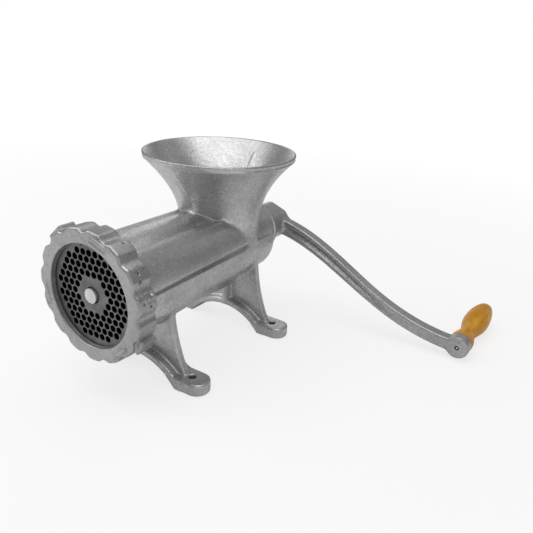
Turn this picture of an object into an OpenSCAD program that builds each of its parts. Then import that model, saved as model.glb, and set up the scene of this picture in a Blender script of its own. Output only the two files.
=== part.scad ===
// Hand crank meat grinder, table-mounted, plate size 32.
// X runs across the feet, +Y from the cutting plate to the crank, Z up.
// The origin is the centre of the four foot bolts, on the table.

/* [Feet] */
// Spacing of the bolt holes across the grinder
foot_hole_span_x = 116; // [108:1:126]
// Spacing of the bolt holes along the barrel
foot_hole_span_y = 136; // [124:1:146]
// Bolt hole diameter
foot_hole_d = 7.5; // [5:0.5:10]
// Thickness of each foot pad
foot_t = 12; // [9:0.5:14]
// Width of the legs along the barrel
leg_w = 25; // [20:1:30]
// Metal between a bolt hole and the tip of its foot
foot_tip = 18; // [14:1:22]
// Height of the arch between the left and the right foot
arch_rise = 21.7; // [16:0.5:26]
// Thickness of the arch strap
arch_t = 6.5; // [5:0.5:9]
// Thickness of the legs' webs and of the centre rib
web_t = 6.5; // [5:0.5:9]

/* [Barrel] */
// Height of the barrel's axis above the table
axis_h = 100; // [94:1:110]
// Radius of the bore that the screw turns in
bore_r = 35.5; // [33:0.5:36.5]
// Wall of the barrel before the hopper
front_wall = 6; // [5:0.5:7]
// Wall of the barrel behind the hopper
back_wall = 5; // [4:0.5:6]
// How much thinner that wall is over its upper half
back_step = 2; // [1:0.5:2.5]
// From the front leg's middle to the barrel's mouth
front_overhang = 59.4; // [54:0.5:66]
// From the rear leg's middle to the barrel's rear face
rear_overhang = 23.6; // [20:0.5:30]
// Thickness of the barrel's rear wall
rear_wall = 11.5; // [8:0.5:14]
// How far the side panels stand out of the barrel
panel_rise = 6; // [4:0.5:7]
// Depth of the feed grooves in the bore, under the side panels
channel_depth = 3.5; // [2:0.5:4.5]
// Outer radius of the neck round the rear bearing
neck_r = 26.4; // [24:0.2:29]
// Length of the neck
neck_len = 25.5; // [20:0.5:30]

/* [Hopper] */
// From the rear leg's middle forward to the hopper's axis
hopper_setback = 26; // [20:0.5:32]
// Height of the hopper's rim above the table
hopper_top = 198.3; // [188:1:210]
// Outer radius of the rim
rim_r = 77.2; // [68:0.5:82]
// Width of the rim's top
rim_w = 3.6; // [3:0.2:5]
// Half width of the throat across the barrel
throat_half_x = 46; // [44:0.5:46.5]
// Half length of the throat along the barrel
throat_half_y = 35.4; // [32:0.2:38]
// Wall of the throat along the barrel
throat_wall = 5; // [4:0.5:7]

/* [Cutting set] */
// Diameter of the cutting plate
plate_d = 98.4; // [96:0.2:100]
// Thickness of the cutting plate
plate_t = 8; // [6:0.5:10]
// Diameter of the plate's holes
plate_hole_d = 5; // [4:0.1:5.6]
// Distance between neighbouring plate holes
plate_pitch = 7.2; // [6.8:0.1:7.3]
// How far the plate stands out of the barrel's mouth
plate_proud = 1; // [0.5:0.1:1.5]
// Wall of the barrel's threaded collar round the plate
collar_wall = 5.25; // [4.5:0.25:7]
// Thickness of the knife's hub
knife_t = 12; // [10:0.5:14]
// From the plate's edge in to the tips of the knife's blades
knife_inset = 5.2; // [4:0.2:7]
// Thickness of the knife's blades
blade_t = 6; // [4:0.5:8]
// Diameter of the stud's round end
stud_d = 13.4; // [12:0.2:14]
// Side of the square that drives the knife
square_w = 14; // [13:0.5:15]

/* [Ring nut] */
// How far the ring's flange covers the plate's edge
ring_cover = 3.2; // [2:0.2:5]
// Thickness of the ring's front flange
ring_flange_t = 5.4; // [4:0.1:7]
// Depth of the whole ring
ring_depth = 21.2; // [19:0.2:24]
// Metal between the ring's thread and the roots of its grip
ring_wall = 2.6; // [2.2:0.2:5]
// Height of the grip lobes
lobe_h = 2.8; // [1.6:0.2:4]
// Number of grip lobes
ring_lobes = 15; // [9:1:20]

/* [Feed screw] */
// Clearance between the flight and the bore
flight_gap = 0.5; // [0.3:0.1:1]
// Core radius at the rear of the screw
core_r_rear = 14; // [12:0.5:16]
// Core radius at the front of the screw
core_r_front = 20; // [17:0.5:22]
// Number of turns of the flight
flight_turns = 4; // [3:0.25:5]
// Thickness of the flight at its edge
flight_t = 6; // [4:0.5:8]
// Radius of the shaft in the rear bearing
shaft_r = 15; // [13:0.5:17]
// Wall of the bearing bushing
bushing_wall = 4; // [3:0.5:5]

/* [Crank] */
// Distance from the barrel's axis to the grip's axis
crank_throw = 257.6; // [240:1:270]
// Angle of the crank below the horizontal
crank_droop = 19.5; // [18:0.1:19.8]
// Radius of the crank's hub
hub_r = 21.5; // [20:0.5:24]
// Length of the crank's hub
hub_len = 34.5; // [30:0.5:38]
// Thickness of the crank arm
arm_t = 14; // [11:0.5:16]
// Width of the arm beside the hub
arm_w_root = 18.5; // [16:0.5:21]
// Width of the arm beside the grip
arm_w_tip = 13.5; // [12:0.5:16]
// Radius of the boss that carries the grip
boss_r = 12; // [11:0.5:13]
// Side of the square hole in the hub
drive_w = 20; // [18:0.5:21]

/* [Grip] */
// Length of the wooden grip
grip_len = 100; // [90:1:115]
// Radius of the grip's base
grip_base_r = 12.6; // [11.5:0.2:13]
// Radius of the grip's waist
grip_waist_r = 10; // [9:0.2:11]
// Radius of the grip's swell
grip_swell_r = 13.9; // [12.5:0.1:14]
// Radius of the spindle in the grip
spindle_r = 4; // [3:0.5:5]

/* [Hidden] */
$fn = 96;

run_gap = 0.3;          // between faces that move past each other
fit_gap = 0.05;         // radial clearance of a shaft in its bearing
cut = 1;                // overshoot of a cutting tool
blade_gap = 1;          // from the knife's blades to the floor of their chamber
stud_sink = 3.2;          // from the ring's face in to the end of the stud
hub_gap = 0.8;          // between the neck and the crank's hub
shaft_sink = 1;         // from the hub's face in to the end of the shaft

// Places along the barrel
leg_y = foot_hole_span_y / 2;
mouth_y = -leg_y - front_overhang;
rear_y = leg_y + rear_overhang;
neck_y = rear_y + neck_len;
hopper_y = leg_y - hopper_setback;
bore_end_y = rear_y - rear_wall;
plate_y = mouth_y - plate_proud;
seat_y = plate_y + plate_t;
knife_y = seat_y + run_gap;
screw_y = knife_y + knife_t;
chamber_y = knife_y + blade_t + blade_gap;
ring_y = plate_y - ring_flange_t - run_gap;
stud_y = ring_y + stud_sink;
hub_y = neck_y + hub_gap;
hub_end_y = hub_y + hub_len;
arm_y = hub_end_y - arm_t;
shaft_end_y = hub_end_y - shaft_sink;

// Barrel
barrel_r_front = bore_r + front_wall;
barrel_r_rear = bore_r + back_wall;
plate_r = plate_d / 2;
pocket_r = plate_r + 0.15;
thread_r = pocket_r + collar_wall;
knife_r = plate_r - knife_inset;
chamber_r = knife_r + 2;
chamber_wall_r = chamber_r + 4.5;
collar_end_y = ring_y + ring_depth - 1;
flare_from_y = chamber_y + 2;
flare_len = 6;
flare_steps = 6;
panel_r = barrel_r_front + panel_rise;
panel_from = 3;         // the side panels' lower edge, in degrees above the horizontal
panel_to = 58;          // their upper edge
panel_slant = 6;        // how far both edges lean toward the panel's middle
channels = 3;           // feed grooves under each panel
channel_angle = 12;     // width of a feed groove, in degrees
channel_end_y = hopper_y - throat_half_y / 2;
step_angle = 11;        // the upper, thinner rear wall starts this high
rear_round = 3;
bushing_r = shaft_r + fit_gap + bushing_wall;
disc_r = bore_r - 4;    // the screw's rear disc
disc_t = 6;
washer_r = disc_r - 1.5;
washer_t = 3;

// Hopper
throat_z = axis_h + 30;
lip_h = 5;
rim_z = hopper_top - lip_h;
bell_x = 2.2;           // how late the bell opens, across the barrel
bell_y = 1.5;           // and along it
hopper_in_r = rim_r - rim_w;
throat_in_x = bore_r - 0.6;
throat_in_y = throat_half_y - throat_wall;
hopper_foot = 14;       // height over which the throat widens out of the barrel's side
lip_bevel = 1.2;
hopper_steps = 9;
hopper_sides = 60;

// Legs
hole_x = foot_hole_span_x / 2;
tip_x = hole_x + foot_tip;
arch_inset = 11.8;      // from a bolt hole in to the foot of the arch
arch_half = hole_x - arch_inset;
arch_r = (pow(arch_half, 2) + pow(arch_rise, 2)) / (2 * arch_rise);
arch_z = arch_rise - arch_r;
web_foot_x = hole_x - 6;
web_top_x = barrel_r_rear - 6;
web_top_z = axis_h - bore_r / 2;
web_waist_z = axis_h * 0.45;

// Cutting set
stud_gap = 0.7;         // the open ring round the stud's end in the plate
plate_rings = 6;
plate_blank = 2;        // hexagonal rings of the plate's middle that have no holes
plate_turn = 1.95;
plate_margin = 2.2;     // from the outermost holes to the ring's opening
key_w = 5;
key_angle = 101;
key_in_r = plate_r - 4.8;
key_out_r = pocket_r + 2.15;
key_gap = 0.3;
square_gap = 0.1;
knife_arms = 4;
knife_hub_r = 14;
blade_root_w = 15;
blade_tip_w = 10;
stud_shank_r = 6.5;
stud_shank_len = 22;

// Ring nut
thread_gap = 0.3;
ring_opening_r = plate_r - ring_cover;
ring_root_r = thread_r + ring_wall;
ring_lobe_r = ring_root_r + lobe_h;
ring_edge = 1.2;
dent_r = 10;
lobe_turn = 8;
lugs = [[124, 22], [-44, 26]];      // the angle and the width of each lug
lug_foot_r = ring_root_r - 1.4;
lug_reach = ring_lobe_r + 4;
lug_setback = 5.7;
bar_angles = [72, 192, 312];
bar_r = ring_root_r - 3.7;
bar_len = 17;
bar_w = 4;
bar_rise = 0.6;

// Feed screw
flight_r = bore_r - flight_gap;
screw_end_y = bore_end_y - washer_t - run_gap;
flight_steps = 132;
flight_bite = 1;        // how far the flight's root sinks into the core
flight_flare = 5;       // how much thicker the flight is at its root
pitch_taper = 0.28;     // how much longer than the mean the rearmost pitch is

// Crank
grip_x = crank_throw * cos(crank_droop);
grip_z = axis_h - crank_throw * sin(crank_droop);
arm_root = [grip_x * 0.387, -8];    // the arm leaves the hub toward this point
arm_bend = [grip_x * 0.552, 4];     // and comes to the grip from this one
arm_slim_at = 0.625;    // the share of its line at which the arm has come to its least width
hub_flat_angle = 69.5;
hub_flat_r = 18.7;
groove_w = 6.5;
groove_depth = 3.4;
groove_from = 0.15;     // the groove's ends, as shares of the arm's line
groove_to = 0.72;
drive_gap = 0.1;
screw_hole_r = 5;
screw_hole_len = 24;
crank_washer_r = 16;
crank_washer_t = 2.5;
screw_tip_gap = 3;      // from the screw's end to the bottom of its hole
wing_head_r = 10;
wing_head_t = 9;
wing_reach = 27;
wing_t = 5;
wing_h = 18;

// Grip
grip_y = hub_end_y + run_gap;
grip_end_y = grip_y + grip_len;
waist_at = 0.27;        // the grip's thinnest place, as a share of its length
swell_at = 0.77;        // and its thickest
tail_len = 0.28;
spindle_peen = 0.6;     // the spindle's riveted end stands this far out of the arm
spindle_recess = 3;     // the spindle's head sinks this far into the grip's end
spindle_head_r = 7;
spindle_head_t = 2.5;
grip_washer_t = 1;

/* Placing */

// Turns +Z into +Y, with the barrel's axis at the middle.
module along_y(y) {
    translate([0, y, axis_h])
        rotate([-90, 0, 0])
            children();
}

// Extrudes an outline of (x, z) points from y0 to y1, with z measured from the given height.
module slab(y0, y1, z = 0) {
    translate([0, y1, z])
        rotate([90, 0, 0])
            linear_extrude(y1 - y0)
                children();
}

module both_sides() {
    children();
    mirror([1, 0, 0])
        children();
}

/* Curves */

function arc(x, y, r, a0, a1, n) = [for (i = [0:n]) [x + r * cos(a0 + (a1 - a0) * i / n),
                                                     y + r * sin(a0 + (a1 - a0) * i / n)]];

function polar(r, a) = [r * cos(a), r * sin(a)];

function bezier2(a, b, c, t) = (1 - t) * (1 - t) * a + 2 * t * (1 - t) * b + t * t * c;

function bezier3(p, t) = pow(1 - t, 3) * p[0] + 3 * t * pow(1 - t, 2) * p[1]
                       + 3 * t * t * (1 - t) * p[2] + pow(t, 3) * p[3];

function mirrored(points) = [for (i = [len(points) - 1:-1:0]) [-points[i][0], points[i][1]]];

/* Lofts */

// A closed loft through rings of equal point counts, listed from the bottom up,
// each ring counter-clockwise as seen from above.
module loft(rings) {
    n = len(rings[0]);
    last = len(rings) - 1;
    walls = [for (j = [0:last - 1]) for (i = [0:n - 1]) let (k = (i + 1) % n)
             each [[j * n + i, (j + 1) * n + i, (j + 1) * n + k],
                   [j * n + i, (j + 1) * n + k, j * n + k]]];
    bottom = [for (i = [0:n - 1]) i];
    top = [for (i = [n - 1:-1:0]) last * n + i];
    polyhedron([for (ring = rings) each ring], concat(walls, [bottom, top]), convexity = 6);
}

function oval(a, b, z) = [for (i = [0:hopper_sides - 1]) let (t = 360 * i / hopper_sides)
                          [a * cos(t), b * sin(t), z]];

// The bell's half width at height z: the throat's below, opening to the rim's.
function bell(z, throat, rim, power) =
    throat + (rim - throat) * pow(max(0, z - throat_z) / (rim_z - throat_z), power);

/* Body casting */

module barrel_outside() {
    along_y(0)
        rotate_extrude()
            polygon(concat(
                [[0, mouth_y], [thread_r - 1, mouth_y], [thread_r, mouth_y + 1],
                 [thread_r, collar_end_y - 1], [thread_r - 1, collar_end_y],
                 [chamber_wall_r, collar_end_y]],
                [for (i = [0:flare_steps]) let (t = 90 * i / flare_steps)
                 [barrel_r_front + (chamber_wall_r - barrel_r_front) * (1 - sin(t)),
                  flare_from_y + flare_len * (1 - cos(t))]],
                arc(barrel_r_rear - rear_round, rear_y - rear_round, rear_round, 0, 90, 5),
                [[neck_r, rear_y], [neck_r, neck_y - 1], [neck_r - 1, neck_y], [0, neck_y]]));
}

// The barrel's upper half behind the hopper is a little thinner than the lower.
module back_step() {
    step_r = barrel_r_rear - back_step;
    translate([0, rear_y, axis_h])
        rotate([90, 0, 0])
            rotate([0, 0, step_angle])
                rotate_extrude(angle = 180 - 2 * step_angle)
                    translate([step_r, 0])
                        square([barrel_r_front + cut - step_r, rear_y - hopper_y]);
}

// How far a side panel's edge leans in at radius r.
function panel_lean(r) = panel_slant * (r - barrel_r_front) / panel_rise;

// A raised sector with slanted edges along each side, from the collar to the hopper.
module side_panels() {
    radii = [bore_r + 1, panel_r + 4];
    low = [for (r = radii) polar(r, panel_from + panel_lean(r))];
    high = [for (r = radii) polar(r, panel_to - panel_lean(r))];
    both_sides()
        slab(collar_end_y, hopper_y, axis_h)
            intersection() {
                circle(panel_r);
                polygon([low[0], low[1], high[1], high[0]]);
            }
}

// Grooves along the bore, which keep the meat from turning with the screw.
module feed_channels() {
    both_sides()
        slab(chamber_y - cut, channel_end_y, axis_h)
            intersection() {
                circle(bore_r + channel_depth);
                for (i = [0:channels - 1]) {
                    middle = panel_from + (panel_to - panel_from) * (i + 0.5) / channels;
                    polygon([[0, 0], polar(2 * bore_r, middle - channel_angle / 2),
                             polar(2 * bore_r, middle + channel_angle / 2)]);
                }
            }
}

module hopper_outside() {
    bells = [for (i = [0:hopper_steps]) let (z = throat_z + (rim_z - throat_z) * i / hopper_steps)
             oval(bell(z, throat_half_x, rim_r, bell_x), bell(z, throat_half_y, rim_r, bell_y), z)];
    translate([0, hopper_y, 0])
        loft(concat([oval(barrel_r_rear - 1.5, throat_half_y, axis_h + 1),
                     oval(throat_half_x, throat_half_y, axis_h + hopper_foot)], bells,
                    [oval(rim_r, rim_r, hopper_top - 2),
                     oval(rim_r - lip_bevel, rim_r - lip_bevel, hopper_top)]));
}

module hopper_inside() {
    bells = [for (i = [0:hopper_steps]) let (z = throat_z + (rim_z - throat_z) * i / hopper_steps)
             oval(bell(z, throat_in_x, hopper_in_r, bell_x - 0.6),
                  bell(z, throat_in_y, hopper_in_r, bell_y), z)];
    translate([0, hopper_y, 0])
        loft(concat([oval(throat_in_x, throat_in_y, axis_h)], bells,
                    [oval(hopper_in_r, hopper_in_r, hopper_top + cut)]));
}

// The T-shaped legs of one foot pair: arch strap, pads, web and centre rib.
module leg_pair(y) {
    side = [for (i = [0:8]) bezier2([web_foot_x, foot_t], [web_top_x + 1.5, web_waist_z],
                                    [web_top_x, web_top_z], i / 8)];
    difference() {
        union() {
            slab(y - leg_w / 2, y + leg_w / 2)
                difference() {
                    translate([0, arch_z])
                        circle(arch_r + arch_t);
                    translate([-arch_r * 2, -arch_r * 4])
                        square([arch_r * 4, arch_r * 4]);
                }
            slab(y - web_t / 2, y + web_t / 2)
                polygon(concat(side, mirrored(side)));
            translate([-web_t / 2, y - leg_w / 2, arch_rise])
                cube([web_t, leg_w, axis_h - bore_r - arch_rise - 1]);
            both_sides() {
                translate([tip_x - leg_w / 2, y, 0])
                    cylinder(h = foot_t, d = leg_w);
                translate([arch_half - 4, y - leg_w / 2, 0])
                    cube([tip_x - leg_w / 2 - arch_half + 4, leg_w, foot_t]);
            }
        }
        slab(y - leg_w, y + leg_w)
            translate([0, arch_z])
                circle(arch_r);
    }
}

module body_casting() {
    color("darkgray")
        difference() {
            union() {
                difference() {
                    barrel_outside();
                    back_step();
                }
                side_panels();
                hopper_outside();
                leg_pair(-leg_y);
                leg_pair(leg_y);
            }
            hopper_inside();
            along_y(mouth_y - cut)
                cylinder(h = seat_y - mouth_y + cut, r = pocket_r);
            along_y(mouth_y)
                cylinder(h = chamber_y - mouth_y, r = chamber_r);
            along_y(mouth_y)
                cylinder(h = bore_end_y - mouth_y, r = bore_r);
            along_y(bore_end_y - cut)
                cylinder(h = neck_y - bore_end_y + 2 * cut, r = bushing_r);
            feed_channels();
            key_seat();
            for (x = [-hole_x, hole_x], y = [-leg_y, leg_y])
                translate([x, y, -cut])
                    cylinder(h = foot_t + 2 * cut, d = foot_hole_d);
        }
}

/* Bearing */

module bearing_bushing() {
    color("peru")
        along_y(bore_end_y)
            difference() {
                cylinder(h = neck_y - bore_end_y, r = bushing_r);
                translate([0, 0, -cut])
                    cylinder(h = neck_y - bore_end_y + 2 * cut, r = shaft_r + fit_gap);
            }
}

module thrust_washer() {
    color("silver")
        along_y(bore_end_y - washer_t)
            difference() {
                cylinder(h = washer_t, r = washer_r);
                translate([0, 0, -cut])
                    cylinder(h = washer_t + 2 * cut, r = shaft_r + run_gap);
            }
}

/* Feed screw */

// Share of the flight's length at share s of its turns: the pitch shortens toward the front.
function advance(s) = s * (1 + pitch_taper * (1 - s));

// The left-hand flight as a swept trapezoid, from the rear disc to the front face.
module flight() {
    root_t = flight_t + flight_flare;
    front = screw_y + root_t / 2;
    rear = screw_end_y - disc_t;
    section = [for (s = [0:flight_steps])
               let (y = rear + (front - rear) * advance(s / flight_steps),
                    a = 360 * flight_turns * s / flight_steps,
                    core = core_r_rear + (core_r_front - core_r_rear)
                         * (rear - y) / (rear - front) - flight_bite)
               [for (p = [[core, root_t / 2], [flight_r, flight_t / 2],
                          [flight_r, -flight_t / 2], [core, -root_t / 2]])
                [p[0] * cos(a), p[0] * sin(a), y + p[1]]]];
    loft(section);
}

module feed_screw() {
    color("gray")
        difference() {
            union() {
                along_y(0) {
                    rotate_extrude()
                        polygon([[0, screw_y], [core_r_front, screw_y],
                                 [core_r_rear, screw_end_y - disc_t], [disc_r, screw_end_y - disc_t],
                                 [disc_r, screw_end_y], [shaft_r, screw_end_y], [shaft_r, neck_y],
                                 [0, neck_y]]);
                    flight();
                }
                translate([-drive_w / 2, neck_y - cut, axis_h - drive_w / 2])
                    cube([drive_w, shaft_end_y - neck_y + cut, drive_w]);
            }
            along_y(screw_y - cut)
                cylinder(h = stud_shank_len + cut, r = stud_shank_r);
            along_y(shaft_end_y - screw_hole_len)
                cylinder(h = screw_hole_len + cut, r = screw_hole_r);
        }
}

module screw_stud() {
    color("lightgray") {
        along_y(stud_y)
            cylinder(h = knife_y - stud_y, d = stud_d);
        translate([-square_w / 2, knife_y, axis_h - square_w / 2])
            cube([square_w, knife_t, square_w]);
        along_y(screw_y)
            cylinder(h = stud_shank_len, r = stud_shank_r);
    }
}

/* Cutting set */

module cutting_knife() {
    color("gray")
        difference() {
            union() {
                along_y(knife_y)
                    cylinder(h = knife_t, r = knife_hub_r);
                for (i = [0:knife_arms - 1])
                    along_y(knife_y)
                        rotate([0, 0, 45 + 360 * i / knife_arms])
                            intersection() {
                                linear_extrude(blade_t)
                                    polygon([[0, -blade_root_w / 2],
                                             [knife_r + cut, -blade_root_w / 2],
                                             [knife_r + cut, blade_tip_w - blade_root_w / 2],
                                             [0, blade_root_w / 2]]);
                                cylinder(h = blade_t, r = knife_r);
                            }
            }
            translate([-square_w / 2 - square_gap, knife_y - cut, axis_h - square_w / 2 - square_gap])
                cube([square_w + 2 * square_gap, knife_t + 2 * cut, square_w + 2 * square_gap]);
        }
}

// A bar along the barrel at the key's angle, between two radii.
module key_bar(y0, y1, r0, r1, width) {
    translate([0, 0, axis_h])
        rotate([0, 90 - key_angle, 0])
            translate([-width / 2, y0, r0])
                cube([width, y1 - y0, r1 - r0]);
}

// The key's slot in the wall of the plate's pocket.
module key_seat() {
    key_bar(mouth_y - cut, seat_y, pocket_r - 1, key_out_r, key_w);
}

module plate_key() {
    color("dimgray")
        key_bar(mouth_y, seat_y, key_in_r, key_out_r, key_w);
}

// Hexagonal grid points of ring k, as distances from the middle.
function hex_ring(k) = [for (side = [0:5], i = [0:k - 1])
                        let (a = side * 60, b = a + 120)
                        plate_pitch * [k * cos(a) + i * cos(b), k * sin(a) + i * sin(b)]];

module cutting_plate() {
    holes = [for (k = [plate_blank + 1:plate_rings]) for (p = hex_ring(k))
             if (norm(p) + plate_hole_d / 2 < ring_opening_r - plate_margin) p];
    color("dimgray")
        difference() {
            along_y(plate_y)
                cylinder(h = plate_t, r = plate_r);
            along_y(plate_y - cut)
                cylinder(h = plate_t + 2 * cut, d = stud_d + 2 * stud_gap);
            along_y(plate_y - cut)
                rotate([0, 0, -plate_turn])
                    for (p = holes)
                        translate([p[0], p[1], 0])
                            cylinder(h = plate_t + 2 * cut, d = plate_hole_d, $fn = 24);
            key_bar(plate_y - cut, seat_y + cut, key_in_r - key_gap, plate_r + cut, key_w + 2 * key_gap);
        }
}

/* Ring nut */

// The flanged ring before its grip is shaped.
module ring_blank() {
    back_y = ring_y + ring_depth;
    bore = thread_r + thread_gap;
    along_y(0)
        rotate_extrude()
            polygon([[ring_opening_r, ring_y], [ring_lobe_r - ring_edge, ring_y],
                     [ring_lobe_r, ring_y + ring_edge], [ring_lobe_r, back_y], [bore, back_y],
                     [bore, ring_y + ring_flange_t],
                     [ring_opening_r, ring_y + ring_flange_t]]);
}

// A block on the ring's side, which a mallet taps to loosen the ring.
module ring_lug(angle, width) {
    translate([0, 0, axis_h])
        rotate([0, 90 - angle, 0])
            translate([-width / 2, ring_y + lug_setback, lug_foot_r])
                cube([width, ring_depth - lug_setback, lug_reach - lug_foot_r]);
}

// A plain raised bar on the ring's face.
module ring_bar(angle) {
    translate([0, ring_y, axis_h])
        rotate([0, 90 - angle, 0])
            translate([-bar_len / 2, -bar_rise, bar_r - bar_w / 2])
                cube([bar_len, bar_rise + 1, bar_w]);
}

module ring_nut() {
    color("silver") {
        difference() {
            ring_blank();
            for (i = [0:ring_lobes - 1])
                along_y(ring_y - cut)
                    rotate([0, 0, -lobe_turn - 360 * (i + 0.5) / ring_lobes])
                        translate([ring_root_r + dent_r, 0, 0])
                            cylinder(h = ring_depth + 2 * cut, r = dent_r, $fn = 64);
        }
        for (lug = lugs)
            ring_lug(lug[0], lug[1]);
        for (angle = bar_angles)
            ring_bar(angle);
    }
}

/* Crank */

// The arm's middle line, from the hub to the grip.
function arm_line(t) = bezier3([[0, axis_h], [arm_root[0], axis_h + arm_root[1]],
                                [arm_bend[0], grip_z + arm_bend[1]], [grip_x, grip_z]], t);

function arm_slope(t) = arm_line(min(1, t + 0.01)) - arm_line(max(0, t - 0.01));

function arm_edge(t, w) = let (p = arm_line(t), d = arm_slope(t), n = [-d[1], d[0]] / norm(d))
                          p + n * w;

function arm_w(t) = arm_w_root + (arm_w_tip - arm_w_root) * min(1, t / arm_slim_at);

module arm_strip(y0, y1, from, to, scale_w) {
    steps = 20;
    ts = [for (i = [0:steps]) from + (to - from) * i / steps];
    slab(y0, y1)
        polygon(concat([for (t = ts) arm_edge(t, -arm_w(t) / 2 * scale_w)],
                       [for (i = [steps:-1:0]) arm_edge(ts[i], arm_w(ts[i]) / 2 * scale_w)]));
}

module arm_groove(y0, y1) {
    steps = 14;
    widths = [for (i = [0:steps]) let (s = i / steps) groove_w / 2 * pow(sin(180 * pow(s, 0.6)), 0.5)];
    ts = [for (i = [0:steps]) groove_from + (groove_to - groove_from) * i / steps];
    slab(y0, y1)
        polygon(concat([for (i = [0:steps]) arm_edge(ts[i], -widths[i] - 0.01)],
                       [for (i = [steps:-1:0]) arm_edge(ts[i], widths[i] + 0.01)]));
}

module crank_arm() {
    color("silver")
        difference() {
            union() {
                difference() {
                    union() {
                        arm_strip(arm_y, hub_end_y, 0.02, 0.98, 1);
                        along_y(hub_y)
                            cylinder(h = hub_len, r = hub_r);
                    }
                    translate([0, hub_y - cut, axis_h])
                        rotate([0, 90 - hub_flat_angle, 0])
                            translate([-hub_r, 0, hub_flat_r])
                                cube([2 * hub_r, hub_len + 2 * cut, hub_r]);
                }
                translate([grip_x, arm_y, grip_z])
                    rotate([-90, 0, 0])
                        cylinder(h = arm_t, r = boss_r);
            }
            arm_groove(arm_y - cut, arm_y + groove_depth);
            arm_groove(hub_end_y - groove_depth, hub_end_y + cut);
            translate([-drive_w / 2 - drive_gap, hub_y - cut, axis_h - drive_w / 2 - drive_gap])
                cube([drive_w + 2 * drive_gap, hub_len + 2 * cut, drive_w + 2 * drive_gap]);
            translate([grip_x, arm_y - cut, grip_z])
                rotate([-90, 0, 0])
                    cylinder(h = arm_t + 2 * cut, r = spindle_r);
        }
}

module crank_washer() {
    color("silver")
        along_y(hub_end_y)
            difference() {
                cylinder(h = crank_washer_t, r = crank_washer_r);
                translate([0, 0, -cut])
                    cylinder(h = crank_washer_t + 2 * cut, r = screw_hole_r + 0.3);
            }
}

module crank_wing_screw() {
    head_y = hub_end_y + crank_washer_t + run_gap / 3;
    tip_y = shaft_end_y - screw_hole_len + screw_tip_gap;
    color("silver") {
        along_y(tip_y)
            cylinder(h = head_y - tip_y + cut, r = screw_hole_r - fit_gap);
        along_y(head_y)
            cylinder(h = wing_head_t, r = wing_head_r);
        for (side = [0, 180])
            translate([0, head_y, axis_h])
                rotate([0, side, 0])
                    translate([wing_reach - wing_h / 2, wing_head_t / 2 + wing_h / 3, -wing_t / 2])
                        cylinder(h = wing_t, d = wing_h);
        translate([-wing_reach + wing_h / 2, head_y + 2, axis_h - wing_t / 2])
            cube([2 * wing_reach - wing_h, wing_head_t, wing_t]);
    }
}

/* Grip */

module at_grip(y) {
    translate([grip_x, y, grip_z])
        rotate([-90, 0, 0])
            children();
}

module grip_spindle() {
    head_y = grip_end_y - spindle_recess;
    color("gainsboro") {
        at_grip(arm_y - spindle_peen)
            cylinder(h = head_y - arm_y + spindle_peen, r = spindle_r);
        at_grip(head_y)
            cylinder(h = spindle_head_t, r = spindle_head_r);
    }
}

function grip_outline() = [
    for (i = [0:16]) let (
        s = i / 16,
        y = grip_len * s,
        waist = grip_base_r + (grip_waist_r - grip_base_r) * sin(90 * min(1, s / waist_at)),
        rise = min(1, (s - waist_at) / (swell_at - waist_at)),
        swell = grip_waist_r + (grip_swell_r - grip_waist_r) * (1 - cos(180 * rise)) / 2,
        tail = grip_swell_r * sqrt(max(0, 1 - pow((s - swell_at) / tail_len, 2))))
    [s < waist_at ? waist : s < swell_at ? swell : tail, y]];

module wooden_grip() {
    color("burlywood")
        at_grip(grip_y)
            difference() {
                rotate_extrude()
                    polygon(concat([[0, 0]], grip_outline(), [[0, grip_len]]));
                translate([0, 0, -cut])
                    cylinder(h = grip_len + 2 * cut, r = spindle_r + fit_gap);
                translate([0, 0, grip_len - spindle_recess - grip_washer_t - run_gap])
                    cylinder(h = spindle_recess + grip_washer_t + run_gap + cut, r = spindle_head_r + 0.5);
            }
}

module grip_washer() {
    color("gainsboro")
        at_grip(grip_end_y - spindle_recess - grip_washer_t)
            difference() {
                cylinder(h = grip_washer_t, r = spindle_head_r);
                translate([0, 0, -cut])
                    cylinder(h = grip_washer_t + 2 * cut, r = spindle_r + 0.01);
            }
}

body_casting();
bearing_bushing();
thrust_washer();
feed_screw();
screw_stud();
cutting_knife();
plate_key();
cutting_plate();
ring_nut();
crank_arm();
crank_washer();
crank_wing_screw();
grip_spindle();
wooden_grip();
grip_washer();
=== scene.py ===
"""Hand crank meat grinder: the visual model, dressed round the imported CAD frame."""
import math

import bpy
import numpy as np
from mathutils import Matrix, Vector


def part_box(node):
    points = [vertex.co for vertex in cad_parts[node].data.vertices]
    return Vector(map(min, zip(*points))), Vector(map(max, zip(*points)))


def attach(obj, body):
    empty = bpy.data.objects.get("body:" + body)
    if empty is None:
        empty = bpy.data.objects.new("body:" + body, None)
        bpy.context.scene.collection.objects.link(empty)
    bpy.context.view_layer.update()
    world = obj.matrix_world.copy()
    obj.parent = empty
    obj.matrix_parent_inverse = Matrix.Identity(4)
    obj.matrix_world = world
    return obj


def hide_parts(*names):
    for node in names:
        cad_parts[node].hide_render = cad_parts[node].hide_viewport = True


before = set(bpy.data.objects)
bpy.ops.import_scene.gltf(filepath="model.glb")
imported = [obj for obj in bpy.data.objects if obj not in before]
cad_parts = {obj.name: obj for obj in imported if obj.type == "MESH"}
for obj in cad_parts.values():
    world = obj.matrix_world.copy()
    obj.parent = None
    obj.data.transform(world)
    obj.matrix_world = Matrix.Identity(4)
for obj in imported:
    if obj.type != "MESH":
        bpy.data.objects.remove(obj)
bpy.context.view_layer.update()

import openvdb
from mathutils import Matrix, Vector

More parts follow.
